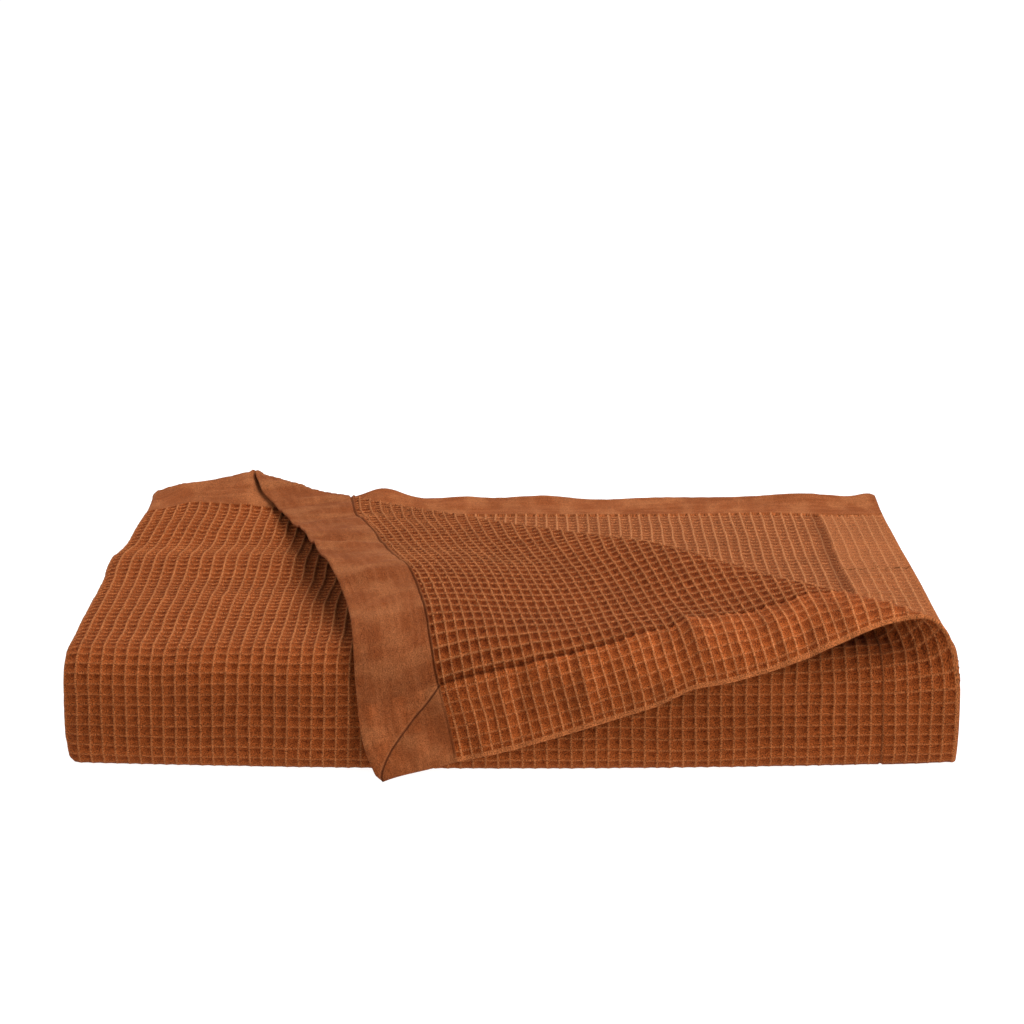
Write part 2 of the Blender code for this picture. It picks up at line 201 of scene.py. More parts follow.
# The turned corner.  The top layer's free corner is reflected across a line in that layer, with a
# soft roll along the line, so that it lies over the layer again and hangs down the front.
LINE_BACK_X, LINE_RIGHT_REACH, LINE_LENGTH = -0.234, 0.043, 0.68
ROLL_OFFSET, ROLL_SHARE, ROLL_TURN, ROLL_NOSE = 0.044, 0.80, 1.45, 0.42
LAY_TIGHTNESS, TOP_LEAN = 0.985, 0.032
SIDE_LEAN, NARROWING = 0.006, 0.026
PULL_OUT, PULL_ALONG, PULL_ZONE, PULL_ENDS = 0.022, -0.021, 0.100, 0.030
APEX_BEND, APEX_FROM, APEX_TO = 0.0155, 0.03, 0.13
CREST = np.array([
    # along the line, height of the roll above the top layer
    (0.00, 0.0030), (0.04, 0.0060), (0.08, 0.0085), (0.16, 0.0105), (0.25, 0.0190),
    (0.34, 0.0265), (0.43, 0.0345), (0.52, 0.0290), (0.60, 0.0285), (0.66, 0.0260),
])
LAY_MARKS = np.array([0.0, 0.06, 0.12, 0.18, 0.24, 0.30])
LAY = np.array([
    # along the line; height of the laid-over cloth 60, 120, 180, 240 and 300 mm from the crest
    (0.00, 0.0045, 0.0055, 0.0075, 0.0095, 0.0115),
    (0.11, 0.0085, 0.0120, 0.0160, 0.0145, 0.0100),
    (0.22, 0.0200, 0.0245, 0.0290, 0.0185, 0.0075),
    (0.33, 0.0220, 0.0265, 0.0275, 0.0135, 0.0045),
    (0.44, 0.0205, 0.0110, 0.0080, 0.0065, 0.0070),
    (0.55, 0.0170, 0.0135, 0.0105, 0.0095, 0.0090),
    (0.66, 0.0175, 0.0135, 0.0115, 0.0105, 0.0105),
])
FLARE, FLARE_REACH = 0.0135, 0.058  # the tip turns outwards at the table
GATHERS = [
    # where the hanging cloth is drawn up: u, v, reach, how far
    (0.0, 0.045, 0.026, 0.0056), (0.0, 0.105, 0.034, 0.0044), (0.0, 0.16, 0.026, 0.0016),
    (0.0, 0.214, 0.012, 0.004), (0.0, 0.004, 0.02, 0.0095),
]
SHIFTS = [
    # the hanging cloth's small moves sideways: u, v, reach, along x
    (0.028, 0.0, 0.022, -0.005),
    (0.06, 0.0, 0.022, -0.0025),
    (0.14, 0.025, 0.036, 0.0052),
    (0.437, 0.0, 0.026, 0.012),
    (0.5, 0.0, 0.016, -0.0045),
]
RISES = [
    # soft rises of the top layer: x, beyond the back edge, reach to the left, right and back, height
    (-0.2108, 0.005, 0.036, 0.026, 0.042, 0.012),
    (-0.2082, 0.0, 0.018, 0.0038, 0.03, 0.0066),
    (-0.3, 0.0, 0.05, 0.05, 0.05, 0.003),
    (-0.262, 0.0, 0.016, 0.016, 0.022, 0.0036),
    (-0.295, 0.0, 0.015, 0.015, 0.03, -0.005),
]
LINE_START = np.array([LINE_BACK_X, BACK])
LINE_WAY = np.array([RIGHT, FRONT - LINE_RIGHT_REACH]) - LINE_START
LINE_WAY = LINE_WAY / np.linalg.norm(LINE_WAY)
LINE_OUT = np.array([-LINE_WAY[1], LINE_WAY[0]])


def line_frame(x, reach):
    """Distances along the line, and out from it towards the corner."""
    dx, dr = x - LINE_START[0], reach - LINE_START[1]
    return dx * LINE_WAY[0] + dr * LINE_WAY[1], dx * LINE_OUT[0] + dr * LINE_OUT[1]


def lay_height(along, past, crest):
    """Height of the laid-over cloth: a cubic through the crest and the columns of LAY."""
    columns = [crest] + [soft_curve(LAY[:, 0], LAY[:, k], along) for k in range(1, LAY.shape[1])]
    heights = np.stack(columns, axis=-1)
    slopes = np.gradient(heights, LAY_MARKS, axis=-1)
    slopes[..., 0] = 0.0
    k = np.clip(np.searchsorted(LAY_MARKS, past) - 1, 0, len(LAY_MARKS) - 2)
    span = LAY_MARKS[k + 1] - LAY_MARKS[k]
    t = np.clip((past - LAY_MARKS[k]) / span, 0, 1)

    def pick(table, column):
        return np.take_along_axis(table, column[..., None], axis=-1)[..., 0]
    return soft_join(pick(heights, k), pick(heights, k + 1), pick(slopes, k), pick(slopes, k + 1), span, t)


def turn_corner(x, reach):
    """Plan place and height above the top layer.  Out from the line, the cloth rises by a half
    cosine as it turns over the roll, and then runs back across the line at the heights of LAY."""
    along, out = line_frame(x, reach)
    middle = np.clip(along / LINE_LENGTH, 0, 1)
    zone = PULL_ENDS + PULL_ZONE * 4 * middle * (1 - middle)
    share = ease((out - ROLL_OFFSET + zone) / (zone + PULL_ENDS))
    along, out = along + PULL_ALONG * share, out + PULL_OUT * share
    crest = soft_curve(CREST[:, 0], CREST[:, 1], along)
    bend = APEX_BEND * ease((APEX_TO - along) / (APEX_TO - APEX_FROM))
    start = ROLL_OFFSET - bend - ROLL_SHARE * crest
    turned = np.clip((out - start) / (ROLL_TURN * crest), 0, 1)
    past = np.clip(out - start - ROLL_TURN * crest, 0, None)
    height = np.where(past > 0, lay_height(along, past, crest), crest * (1 - np.cos(math.pi * turned)) / 2)
    plan = np.where(out <= start, out,
                    start + ROLL_NOSE * crest * np.sin(math.pi * turned) - LAY_TIGHTNESS * past)
    return (LINE_START[0] + along * LINE_WAY[0] + plan * LINE_OUT[0],
            LINE_START[1] + along * LINE_WAY[1] + plan * LINE_OUT[1], height)


def rise(x, y):
    """Sum of the soft rises: height * bell(dx / reach, dy / reach)."""
    return sum(height * bell((x - at) / np.where(x < at, left, right), (y - BACK - beyond) / deep)
               for at, beyond, left, right, deep, height in RISES)


def over_the_front(reach, height):
    """Y and Z of cloth `height` above the top layer: straight, then an arc of the bend's radius plus
    that height, then down.  What is left over at the table turns outwards and lies on it."""
    gone = np.clip(BEND_Y - reach, 0, None)
    radius = BEND_RADIUS + height
    angle = np.clip(gone / radius, 0, QUARTER)
    down = np.clip(gone - radius * QUARTER, 0, None)
    y = np.where(reach > BEND_Y, reach, BEND_Y - radius * np.sin(angle))
    z = PACK_TOP - HIGH_RADIUS + radius * np.cos(angle) - down
    low = np.clip(CLOTH / 2 - z, 0, None)
    return y - low, z + low


# The stack isn't square: its top rises and falls in soft waves, its sides bow, its foot draws in.
WAVES = [
    # behind the front, x, reach along y and x, height at the top of the stack
    (0.204, -0.22, 0.017, 0.075, 0.0034), (0.156, -0.215, 0.019, 0.08, -0.002),
    (0.25, -0.23, 0.016, 0.07, -0.0016), (0.292, -0.21, 0.018, 0.07, 0.0016),
    (0.098, -0.19, 0.02, 0.09, 0.0016), (0.048, -0.2, 0.016, 0.08, -0.001),
    (0.35, 0.04, 0.03, 0.13, -0.0016), (0.21, 0.22, 0.03, 0.06, -0.0014),
]
SIDE_BOW = np.array([
    # behind the front, how far the left side and the right side move to the right
    (-0.01, 0.0005, 0.0), (0.02, 0.0012, 0.0), (0.05, 0.0008, 0.0), (0.1, 0.0002, 0.0),
    (0.155, -0.0015, 0.0004), (0.21, -0.0042, 0.0006), (0.255, -0.0012, 0.0008),
    (0.335, 0.0005, 0.0012), (0.385, -0.003, 0.0022),
])
MOST_SHARE, WAVES_IN = 1.15, 0.02  # the waves fade in across the front edge
FOOT_IN, FOOT_RISE, FOOT_FADE, RIGHT_FOOT = 0.0004, 0.026, 0.1, 0.25
FACE_SWELL, FACE_FADE = 0.0020, 0.03
FOOT_SWELL, FOOT_HIGH, FOOT_WIDE = 0.0165, 0.055, 0.31
FOOT_SQUARE, SQUARE_FADE, FRONT_SLACK = 0.95, 0.03, 0.004
LOW_BEND = LOW_RADIUS + OUTER
DROOPS = [
    # how far the back edge hangs over: from x, to x, overhang, fading over this much of the cloth
    (-0.21, -0.262, 0.022, 0.2),
    (-0.235, -0.19, 0.009, 0.12),
]
DROOP_RADIUS, DROOP_FROM, DROOP_CLEAR = 0.0075, BACK - 0.0040, 0.035


def softened(x, y, z):
    """The same point in the softened stack.  z grows by its share of the height times the waves, each
    height * bell(dy / reach, dx / reach), and a slow mottle; x moves with the bow of its side, by the
    cube of its share of the half width; y swells at the front, where the low bend is squared up."""
    reach, share = y - FRONT, np.clip(z / HEIGHT, 0, MOST_SHARE)
    up = sum(height * bell((reach - at) / deep, (x - across) / wide)
             for at, across, deep, wide, height in WAVES)
    up = up + uneven("stack top", x, y)
    left, right = np.clip(-x / RIGHT, 0, 1)**3, np.clip(x / RIGHT, 0, 1)**3
    move = (left * soft_curve(SIDE_BOW[:, 0], SIDE_BOW[:, 1], reach)
            + right * soft_curve(SIDE_BOW[:, 0], SIDE_BOW[:, 2], reach))
    drawn = FOOT_IN * ease(1 - z / FOOT_RISE) * np.clip(1 - reach / FOOT_FADE, 0, 1)
    move = move + (left - RIGHT_FOOT * right) * drawn
    near = np.exp(-np.clip(reach, 0, None) / FACE_FADE)
    swell = near * (FACE_SWELL * (1 - (2 * share - 1)**2) + share * uneven("front face", x, z))
    middle = np.clip(1 - (x / FOOT_WIDE)**2, 0, 1)
    swell = swell + near * FOOT_SWELL * middle * ease(1 - z / FOOT_HIGH)
    back = LOW_BEND - np.sqrt(np.clip(LOW_BEND**2 - np.clip(LOW_BEND - z, 0, LOW_BEND)**2, 0, None))
    squared = ease(1 - (reach - LOW_BEND) / SQUARE_FADE) * (reach > -FRONT_SLACK)
    swell = swell + FOOT_SQUARE * back * squared
    lifted = z + share * up * np.clip((reach + WAVES_IN) / (2 * WAVES_IN), 0, 1)
    return np.stack([x + move, y - swell, lifted], axis=-1)


def over_the_back(y, z, further):
    """Cloth moved `further` back: past the edge it bends down by an arc, and what is left hangs."""
    gone = np.clip(y + further - DROOP_FROM, 0, None)
    angle = np.clip(gone / DROOP_RADIUS, 0, QUARTER)
    hung = np.clip(gone - DROOP_RADIUS * QUARTER, 0, None)
    bent = DROOP_FROM + DROOP_RADIUS * np.sin(angle)
    return (np.where(gone > 0, bent, y + further),
            z - np.where(gone > 0, DROOP_RADIUS * (1 - np.cos(angle)) + hung, 0))


ACROSS_STARTS, ALONG_STARTS = run_starts(ACROSS, 0.0), run_starts(ALONG, OUTER)
TOP_U, TOP_V = ACROSS_STARTS[1], ALONG_STARTS[3]  # the top layer ends at the left and low folds
PANEL_U, PANEL_V = ACROSS_STARTS[-1], ALONG_STARTS[-1]


def place(u, v):
    """Middle of the cloth at (u, v).  Across gives x and a lift off the pack's middle; along gives y
    and z of that middle and its normal, so the point is that middle + lift * normal.  The top layer
    then has its corner turned, its hanging part gathered and shifted, by size * bell(du / reach,
    dv / reach) each, and its back edge hung over."""
    across, _ = path(ACROSS, (HEM_X, OUTER), u, 0.0)
    along, outward = path(ALONG, (BACK, PACK_TOP), v, OUTER)
    x, lift = across[..., 0], across[..., 1]
    y = along[..., 0] + lift * outward[..., 0]
    z = along[..., 1] + lift * outward[..., 1]
    top = (u < TOP_U) & (v < TOP_V)
    lean = np.where(top, TOP_LEAN * np.clip(BACK - v - FRONT, 0, None),
                    (y - FRONT) * (SIDE_LEAN - NARROWING * x / RIGHT))
    turned_x, reach, height = turn_corner(x + lean, BACK - v)
    gathered, sideways = [sum(size * bell((u - at_u) / wide, (v - at_v) / wide)
                              for at_u, at_v, wide, size in table) for table in (GATHERS, SHIFTS)]
    up_y, up_z = over_the_front(reach + gathered, height)
    flare = FLARE * ease(1 - np.hypot(u, v) / FLARE_REACH)
    x, y = np.where(top, turned_x + sideways, x + lean), np.where(top, up_y - flare, y)
    turning = ease(1 - (u - TOP_U) / (ACROSS_STARTS[2] - TOP_U)) * (v < TOP_V)
    z = np.where(top, up_z + rise(x, y), z + turning * rise(x, y))
    second = (u > ACROSS_STARTS[6]) & (v < TOP_V)
    for on, (start, full, overhang, fade) in zip((top, second), DROOPS):
        further = overhang * ease((x - start) / (full - start)) * ease(1 - v / fade)
        further = further * ease(np.abs(u - TOP_U) / DROOP_CLEAR)
        bent_y, bent_z = over_the_back(y, z, further)
        y, z = np.where(on & (further > 0), bent_y, y), np.where(on & (further > 0), bent_z, z)
    return softened(x, y, z)


# Creases: soft ridges and troughs in the cloth itself.  The reverse is uppermost on
# the turned corner and on the second layer, so a ridge there has a height below 0.
SECOND = PANEL_U - HEM_X  # u = SECOND + x on the second layer
CREASES = [
    # u, v, degrees from the u direction, reach along and across the crease, height
    (0.248, 0.02, 96, 0.022, 0.0062, -0.003), (0.264, 0.02, 98, 0.02, 0.0075, 0.002),
    (0.164, 0.018, 98, 0.018, 0.0062, -0.0022), (0.15, 0.018, 98, 0.016, 0.007, 0.0016),
    (0.33, 0.03, 80, 0.022, 0.008, -0.0026), (0.362, 0.03, 84, 0.02, 0.008, 0.0018),
    (0.105, 0.026, 84, 0.03, 0.008, -0.002), (0.43, 0.026, 92, 0.022, 0.0075, -0.0022),
    (0.07, 0.012, 10, 0.03, 0.005, -0.0016), (0.085, 0.038, 6, 0.03, 0.0055, 0.0015),
    (0.026, 0.211, 2, 0.022, 0.005, 0.0042), (0.024, 0.226, -4, 0.026, 0.0058, -0.0056),
    (0.028, 0.105, 4, 0.024, 0.005, 0.0028), (0.026, 0.117, 3, 0.024, 0.0052, -0.0036),
    (0.028, 0.188, 2, 0.022, 0.0055, -0.0034), (0.026, 0.074, 2, 0.022, 0.0055, -0.0036),
    (0.02, 0.148, 4, 0.018, 0.005, -0.003), (0.023, 0.162, 3, 0.018, 0.0055, 0.0016),
    (0.022, 0.092, -3, 0.018, 0.0045, -0.0026), (0.024, 0.058, 2, 0.018, 0.005, 0.0016),
    (0.026, 0.305, 3, 0.024, 0.006, -0.0032), (0.026, 0.264, 0, 0.02, 0.007, 0.0018),
    (0.025, 0.242, -2, 0.02, 0.005, -0.0026), (0.026, 0.284, 2, 0.022, 0.005, -0.002),
    (0.02, 0.03, 40, 0.016, 0.004, -0.001), (0.033, 0.024, 75, 0.014, 0.004, -0.0008),
    (0.0, 0.214, 0, 0.014, 0.008, -0.0042),
    (SECOND - 0.109, 0.004, 90, 0.02, 0.014, -0.009), (SECOND - 0.041, 0.0, 90, 0.016, 0.012, -0.002),
    (SECOND + 0.023, 0.0, 90, 0.018, 0.018, -0.0024), (SECOND + 0.11, 0.0, 90, 0.016, 0.022, -0.0012),
    (SECOND + 0.236, 0.0, 90, 0.018, 0.026, -0.0038), (SECOND + 0.292, 0.0, 90, 0.022, 0.008, -0.0036),
]
BACK_DIPS = [
    # where the second layer's back edge draws in: u, reach along u, how far
    (SECOND - 0.0685, 0.0065, 0.0042), (SECOND - 0.006, 0.014, 0.0048), (SECOND + 0.075, 0.016, 0.0022),
    (SECOND + 0.16, 0.015, 0.0024), (SECOND + 0.267, 0.01, 0.0062),
]
DIP_FADE = 0.03


def creased(u, v):
    """Sum of the creases: height * bell(s / reach, t / reach), s along and t across each one."""
    up = np.zeros_like(u)
    for at_u, at_v, degrees, long, wide, height in CREASES:
        way = (math.cos(math.radians(degrees)), math.sin(math.radians(degrees)))
        s = (u - at_u) * way[0] + (v - at_v) * way[1]
        t = (v - at_v) * way[0] - (u - at_u) * way[1]
        up += height * bell(s / long, t / wide)
    return up


def drawn_in(u, v):
    """How far the second layer's back edge draws in: far * bell(du / reach), fading with v."""
    return sum(far * bell((u - at) / wide) for at, wide, far in BACK_DIPS) * np.exp(-v / DIP_FADE)


HEM_FADE, BAND_FADE, BAND_FROM, BAND_RISE = 0.012, 0.004, 0.040, 0.020
TIP_CUT, STEP, TABLE_CLEAR = 0.0026, 2e-4, 0.0003


def laid(u, v, height):
    """Points `height` off the middle of the cloth: place + (creases + height) * normal, where the
    normal is the cross product of the small steps along u and v, and points out of the face side.
    Along the hem's edge and the plain band the whole cloth waves, and the tip is cut a little blunt."""
    near_hem = np.exp(-np.clip(u, 0, None) / HEM_FADE) * (u < TOP_U)
    band = ease((HEM + BAND_FADE - v) / (2 * BAND_FADE)) * (u < TOP_U) * ease((u - BAND_FROM) / BAND_RISE)
    height = height + creased(u, v) + near_hem * uneven("hem edge", u, v)
    height = height + band * uneven("plain band", u, v)
    v = v + drawn_in(u, v) + TIP_CUT * bell(u / TIP_CUT, v / TIP_CUT)
    across = place(u + STEP, v) - place(u - STEP, v)
    along = place(u, v + STEP) - place(u, v - STEP)
    normal = np.cross(across, along)
    normal /= np.linalg.norm(normal, axis=-1, keepdims=True) + 1e-12
    points = place(u, v) + np.asarray(height)[..., None] * normal
    points[..., 2] = np.maximum(points[..., 2], TABLE_CLEAR)
    return points


# The weave.  Raised threads cross in a grid, the ones along the panel higher than the ones across,
# and each cell between them sinks like an upturned pyramid.  The reverse has the same grid half a
# cell further on.  The last 52 mm on every side is turned to the reverse and stitched.
CELL_U, CELL_V, HEM = 0.00825, 0.0070, 0.052
RIDGE, SINK, PLAIN = 0.0015, 0.0025, 0.0008
RIDGE_AWAY, RIDGE_SHARE = (0.0, 0.12, 0.5), (1.0, 0.50, 0.0)
CROSS_SEAM = 0.183  # on the far hem, from the head end
WEAVE_STEP = 0.0012  # the weave changes within this width
PRESS, PRESS_BEFORE, PRESS_RUN, PRESS_SINK = 0.85, 0.010, 0.012, 0.0010
HEM_LIFT, HEM_LIFT_RUN = 0.0003, 0.002
HEM_RISE, HEM_SINK = 0.0002, 0.0020
PUCKER_FROM, PUCKER_RUN, PUCKER_CORNER, PUCKER_FAR = 0.002, 0.02, 1.3, 0.4
BAND_BEFORE, BAND_STEP, PIPE_FROM = 0.0002, 0.0008, 0.004
EDGE_ROLL, EDGE_BEFORE, EDGE_RUN, EDGE_ROUND, EDGE_DROP = 0.0038, 0.0010, 0.0014, 0.0018, 0.93
THINNEST = 0.0005
COLUMN_BELOW, ROW_BELOW, HEM_COLUMN_BELOW, HEM_ROW_BELOW = 0.22, -0.40, 0.32, -0.70
GROOVES = {
    # what: how far inside the hem's inner edge, half its width, its depth
    "face": (0.0, 0.0018, 0.0009),
    "reverse": (0.0006, 0.0013, 0.0009),
    "layer below": (0.0040, 0.0040, 0.0011),
    "across the hem": (0.0, 0.0016, 0.0012),
    "pipe": (0.0, 0.0010, -0.0009),
    "beside the pipe": (-0.0014, 0.0010, 0.0015),
}


def weave(u, v, shift, columns, rows):
    """Height share, 0 in the pits and 1 on the highest ridges: the higher of a ridge along the panel
    and one across it.  Each falls straight to 0.5 at an eighth of a cell, then to 0 at mid cell."""
    def ridge(place_in_cell):
        away = np.abs(place_in_cell - np.round(place_in_cell))
        return np.interp(away, RIDGE_AWAY, RIDGE_SHARE)
    return np.maximum(columns * ridge((u - HEM) / CELL_U + shift), rows * ridge((v - HEM) / CELL_V + shift))


def from_borders(u, v):
    """Distances from the panel's nearer side and nearer end."""
    return np.minimum(u, PANEL_U - u), np.minimum(v, PANEL_V - v)


def groove(what, distance):
    """Depth * ease(1 - |distance - inside| / half width), from that row of GROOVES."""
    inside, width, depth = GROOVES[what]
    return depth * ease(1 - np.abs(distance - inside) / width)


def face_height(u, v):
    """Skin on the face side: ridge height less the sink of the pits, pressed where the stack lies on
    it, flat on the plain ends, a little higher over the hems, with a dent along their stitching."""
    from_side, from_end = from_borders(u, v)
    share = weave(u, v, 0.0, uneven("face columns", u, v), uneven("face rows", u, v))
    sink = SINK * uneven("face pits", u, v)
    pressed = PRESS * ease((v - ALONG_STARTS[3] + PRESS_BEFORE) / PRESS_RUN)
    waffle = RIDGE - sink * (1 - share) * (1 - pressed) - PRESS_SINK * pressed
    waffle += uneven("face yarns", u, v)
    waffle += HEM_LIFT * ease((HEM - from_side) / HEM_LIFT_RUN)
    waffle -= groove("face", from_side - HEM)
    plain = PLAIN + uneven("face of the band", u, v)
    height = plain + (waffle - plain) * ease((from_end - HEM) / WEAVE_STEP)
    return rounded(height, u, v)


def reverse_height(u, v):
    """Skin on the reverse: the waffle half a cell further on, its cross ridges highest; the turned
    hem, flatter and puckered; the plain band, then a groove and a thin pipe where it ends."""
    from_side, from_end = from_borders(u, v)
    below = (u > PANEL_U / 2) * 1.0
    share = weave(u, v, 0.5, uneven("reverse columns", u, v) + COLUMN_BELOW * below,
                  uneven("reverse rows", u, v) + ROW_BELOW * below)
    waffle = RIDGE - SINK * uneven("reverse pits", u, v) * (1 - share)
    pucker = ease((from_side - PUCKER_FROM) / PUCKER_RUN) * uneven("hem puckers", u, v)
    turned = weave(u, v, 0.5, uneven("hem columns", u, v) + HEM_COLUMN_BELOW * below,
                   uneven("hem rows", u, v) + HEM_ROW_BELOW * below)
    far = (u > PANEL_U / 2) & (v < CROSS_SEAM)
    hem = RIDGE + HEM_RISE - HEM_SINK * (1 - turned) + pucker * np.where(far, PUCKER_FAR, PUCKER_CORNER)
    height = waffle + (hem - waffle) * ease((HEM - from_side) / WEAVE_STEP)
    height -= groove("reverse", from_side - HEM)
    height -= below * groove("layer below", from_side - HEM)
    height -= groove("across the hem", v - CROSS_SEAM) * (u > PANEL_U - HEM)
    height = height + uneven("reverse yarns", u, v)
    plain = uneven("reverse of the band", u, v)
    height = plain + (height - plain) * ease((from_end - HEM + BAND_BEFORE) / BAND_STEP)
    height -= groove("pipe", from_end - HEM) * ease((from_side - HEM) / PIPE_FROM)
    height -= groove("beside the pipe", from_end - HEM)
    return rounded(height, u, v)


def rounded(height, u, v):
    """Turned edges of the cloth: the last 4 mm are a smooth soft roll with no cells in it, and there
    the height falls by a quarter circle in the last 1.8 mm."""
    edge = np.minimum(*from_borders(u, v))
    rolled = uneven("rolled edge", u, v)
    height = rolled + (height - rolled) * ease((edge - EDGE_ROLL + EDGE_BEFORE) / EDGE_RUN)
    near = np.clip(1 - edge / EDGE_ROUND, 0, 1)
    return height * np.sqrt(np.clip(1 - EDGE_DROP * near**2, 0, 1))


LINES_APART, DRIFT_FADE = 2.5e-4, 0.030


def add(name, data):
    """A new object in the scene."""
    thing = bpy.data.objects.new(name, data)
    bpy.context.scene.collection.objects.link(thing)
    return thing


def spaced(marks, apart):
    """The marks in order, without those that follow another too closely."""
    marks = np.unique(np.round(marks, 6))
    return marks[np.concatenate([[True], np.diff(marks) > apart])]


def lines(low, high, phase, cell, inside, extra=()):
    """Lines of the sheet from low to high: the given shares of every cell, and a few extra."""
    first, last = math.floor((low - phase) / cell) - 1, math.ceil((high - phase) / cell) + 1
    marks = (phase + cell * (np.arange(first, last)[:, None] + np.array(inside))).ravel()
    marks = np.concatenate([marks[(marks > low) & (marks < high)], [low, high], list(extra)])
    return spaced(marks, LINES_APART)


def sheet_mesh(name, u, v, keep, finish, face_up=True):
    """Closed sheet over the lines u and v: two skins of points laid(u, v, height), kept where
    keep(u, v) holds at a square's middle and joined by rim squares.  Where the skins would meet, the
    one underneath gives way.  The UV map is (u, v) in metres."""
    U, V = np.meshgrid(u, v, indexing="ij")
    inside = ease(np.minimum(*from_borders(U, V)) / DRIFT_FADE)
    pu, pv = U + inside * uneven("drift across", U, V), V + inside * uneven("drift along", U, V)
    upper, lower = face_height(U, V), reverse_height(U, V)
    short = np.clip(THINNEST - upper - lower, 0, None)
    upper, lower = (upper, lower + short) if face_up else (upper + short, lower)
    skins = [laid(pu, pv, upper), laid(pu, pv, -lower)]
    n, m = U.shape
    points = np.concatenate([s.reshape(-1, 3) for s in skins])
    number = np.arange(n * m).reshape(n, m)
    middle_u, middle_v = (u[1:] + u[:-1]) / 2, (v[1:] + v[:-1]) / 2
    kept = keep(*np.meshgrid(middle_u, middle_v, indexing="ij"))
    a, b, c, d = number[:-1, :-1], number[1:, :-1], number[1:, 1:], number[:-1, 1:]
    face = np.stack([a, b, c, d], axis=-1)[kept]
    back = np.stack([a, d, c, b], axis=-1)[kept] + n * m
    padded = np.pad(kept, 1)
    rims = []
    for beyond, p, q in ((padded[1:-1, :-2], b, a), (padded[1:-1, 2:], d, c),
                         (padded[:-2, 1:-1], a, d), (padded[2:, 1:-1], c, b)):
        at = kept & ~beyond
        rims.append(np.stack([p[at], q[at], q[at] + n * m, p[at] + n * m], axis=-1))
    quads = np.concatenate([face, back] + rims)
    slots = np.concatenate([np.zeros(len(face), int), np.ones(len(quads) - len(face), int)])
    used, quads = np.unique(quads, return_inverse=True)
    quads = quads.reshape(-1, 4)
    flat = np.stack([np.tile(U.ravel(), 2), np.tile(V.ravel(), 2)], axis=-1)[used]
    mesh = bpy.data.meshes.new(name)
    mesh.from_pydata(points[used].tolist(), [], quads.tolist())
    mesh.uv_layers.new(name="cloth")
    mesh.uv_layers["cloth"].data.foreach_set("uv", flat[quads.ravel()].astype(np.float32).ravel())
    mesh.polygons.foreach_set("material_index", slots.astype(np.int32))
    mesh.shade_smooth()
    for material in finish:
        mesh.materials.append(material)
    return add(name, mesh)


# The yarn.  One rust dye, with painted shade down in the cells and painted highlights on the
# ridges where fuzz would catch the light.  Stitching shows as a broken dark line, and the corner's mitre as
# a finer one.
RUST = {
    # the pit colour is painted shade, the crown colour a painted highlight
    "painted_pit_shade": (0.098, 0.0145, 0.0013, 1), "wall": (0.222, 0.0500, 0.0104, 1),
    "crown, painted highlight": (0.350, 0.121, 0.0410, 1), "rolled edge": (0.280, 0.085, 0.026, 1),
    "plain": (0.185, 0.0460, 0.0120, 1), "plain, pale": (0.262, 0.0780, 0.0255, 1),
    "plain, painted fold highlight": (0.320, 0.112, 0.0400, 1), "hem, pale": (0.27, 0.090, 0.032, 1),
    "reverse, painted sheen": (0.38, 0.158, 0.065, 1), "stitching": (0.060, 0.0095, 0.001, 1),
    "painted shade beyond the mitre": (0.085, 0.021, 0.005, 1), "mitre": (0.055, 0.012, 0.003, 1),
}
NOISE = {
    # what: patches to a metre, stretch along u and v, detail
    "yarn": (1250.0, (1, 1, 1), 3.0), "fuzz": (420.0, (1, 1, 1), 2.0),
    "cloud": (28.0, (1, 1, 1), 2.0), "slub": (230.0, (0.12, 1, 1), 3.0),
    "thread": (1500.0, (0.35, 1, 1), 1.0), "painted fold highlight": (48.0, (1, 0.6, 1), 2.0),
    "painted_fold_shading": (85.0, (0.22, 1, 1), 2.0),
}
STEPS = {
    # soft steps: from, to, and the values there.  Of metres on the cloth:
    "hem": (HEM + 0.0005, HEM - 0.0005, 0, 1),
    "layer below": (PANEL_U / 2, PANEL_U / 2 + 0.001, 0, 1),
    "rolled edge": (EDGE_ROLL, EDGE_ROLL - 0.0012, 0, 1),
    "calm of the far hem": (CROSS_SEAM, CROSS_SEAM + 0.001, 0.52, 0.32),
    # down the front, the painted highlights of the ridges and the painted shade of the pits are weaker
    "painted highlights down the front": (TOP_RUN - 0.030, TOP_RUN + 0.030, 1, 0.68),
    "painted shade of the pits down the front": (TOP_RUN, TOP_RUN + 0.040, 1, 0.88),
    "stitching": (0.0016, 0.0005, 0, 1),
    "painted shade in the groove by the stitching": (0.0046, 0.0014, 0, 1),
    "stitching of the band": (0.0011, 0.0004, 0, 1),
    "along the band": (HEM - 0.002, HEM, 0.15, 0.8),
    "painted shade beyond the mitre": (0.0, -0.001, 0, 0.25),
    "mitre": (0.0011, 0.0003, 0, 1),
    "painted highlight beside the mitre": (0.0013, 0.0003, 0, 0.35),
    # of the distance from a ridge's middle, and of the place in a cell, both in cells:
    "column": (0.14, 0.01, 0, 1), "row": (0.15, 0.01, 0, 1),
    "face, across": (0.85, 0.14, 0, 1), "face, along": (0.70, 0.28, 0, 1),
    "face, foot of the slope": (0.0, 0.14, 0, 1), "reverse, across": (0.20, 0.72, 0, 1),
    "reverse, along": (0.25, 0.74, 0, 1), "layer below, along": (0.72, 0.24, 0, 1),
    # of a noise, or of a share:
    "yarn": (0.3, 0.7, -0.62, 0.62), "fuzz": (0.3, 0.7, -0.12, 0.12),
    "cloud": (0.3, 0.7, 0.94, 1.05), "painted_fold_shading": (0.38, 0.62, -0.13, 0.15),
    "slub": (0.35, 0.75, 0, 0.70), "painted fold highlight": (0.42, 0.66, 0, 0.50),
    "fuzz in a pit": (0.2, 0.7, 1, 0.6), "fuzz on a ridge": (0.2, 0.7, 0.65, 1),
    "fuzz on stitching": (0.25, 0.6, 0.30, 0.85), "painted shade and light of the turned corner": (0, 1, -0.125, 0.08),
}
